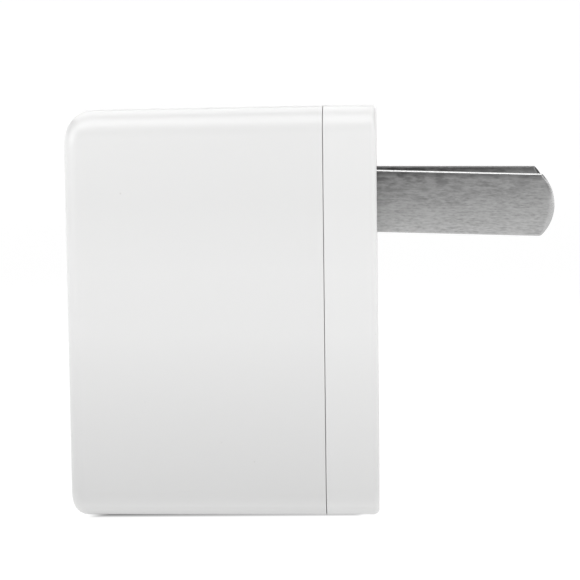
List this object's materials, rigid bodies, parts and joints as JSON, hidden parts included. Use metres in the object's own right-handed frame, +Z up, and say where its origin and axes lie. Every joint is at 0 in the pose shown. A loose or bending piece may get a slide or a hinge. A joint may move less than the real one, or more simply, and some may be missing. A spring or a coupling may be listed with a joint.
{
  "type": "usb wall charger",
  "caption": "Compact white rectangular wall charger with flat plug blades that fold into its wall face and a USB-A socket in the opposite face.",
  "frame": {"origin": "middle of the housing's flat lower end, on which the charger stands", "axes": "+Z up along the tall side of the housing; +X out of the wall face, along the open blades; -X out of the front face with the USB socket; Y across, along the plug's fold axis"},
  "size_m": [0.0498, 0.028, 0.0416],
  "materials": {
    "casing_plastic": "polished white moulded polycarbonate",
    "plug_plastic": "satin white moulded plastic",
    "blade_metal": "nickel plate, brushed along the blade",
    "spring_metal": "plain phosphor bronze",
    "steel": "zinc plated",
    "socket_metal": "bright nickel-plated sheet",
    "socket_plastic": "white moulded insulator",
    "gold_plate": "gold plate",
    "board": "green solder mask on glass-fibre board",
    "ferrite": "matt sintered ferrite",
    "bobbin_plastic": "black moulded phenolic",
    "winding_tape": "yellow polyester tape",
    "copper": "enamelled copper wire",
    "capacitor_sleeve": "black shrink sleeve",
    "capacitor_green": "dark green shrink sleeve",
    "chip_plastic": "black moulded epoxy",
    "disc_ceramic": "blue dipped ceramic",
    "resistor_coat": "grey flameproof coat",
    "wire_red": "red insulation",
    "wire_black": "black insulation",
    "barrier_fibre": "natural fibre paper"
  },
  "bodies": {
    "housing": {"front_shell": "casing_plastic", "rear_cover": "casing_plastic", "rotor_cradle": "plug_plastic", "cradle_screw_lower": "steel", "cradle_screw_upper": "steel", "detent_spring": "steel", "contact_left": "spring_metal", "contact_right": "spring_metal", "wire_left": "wire_red", "wire_right": "wire_black", "main_board": "board", "usb_board": "board", "insulation_barrier": "barrier_fibre", "usb_socket_shell": "socket_metal", "usb_socket_insulator": "socket_plastic", "usb_contact_1": "gold_plate", "usb_contact_2": "gold_plate", "usb_contact_3": "gold_plate", "usb_contact_4": "gold_plate", "transformer_core_front": "ferrite", "transformer_core_rear": "ferrite", "transformer_bobbin": "bobbin_plastic", "transformer_winding": "winding_tape", "transformer_tape": "winding_tape", "bulk_capacitor_1": "capacitor_sleeve", "bulk_capacitor_2": "capacitor_sleeve", "output_capacitor_1": "capacitor_green", "output_capacitor_2": "capacitor_green", "input_choke": "copper", "fuse_resistor": "resistor_coat", "bridge_rectifier": "chip_plastic", "controller_chip": "chip_plastic", "optocoupler": "chip_plastic", "y_capacitor": "disc_ceramic", "output_diode": "chip_plastic"},
    "plug": {"blade_rotor": "plug_plastic", "blade_left": "blade_metal", "blade_right": "blade_metal"}
  },
  "joints": [
    {"name": "plug_fold", "type": "hinge", "parent": "housing", "child": "plug", "pos_m": [0.012, 0, 0.0319], "axis": [0, 1, 0], "range_deg": [0, 90]}
  ]
}
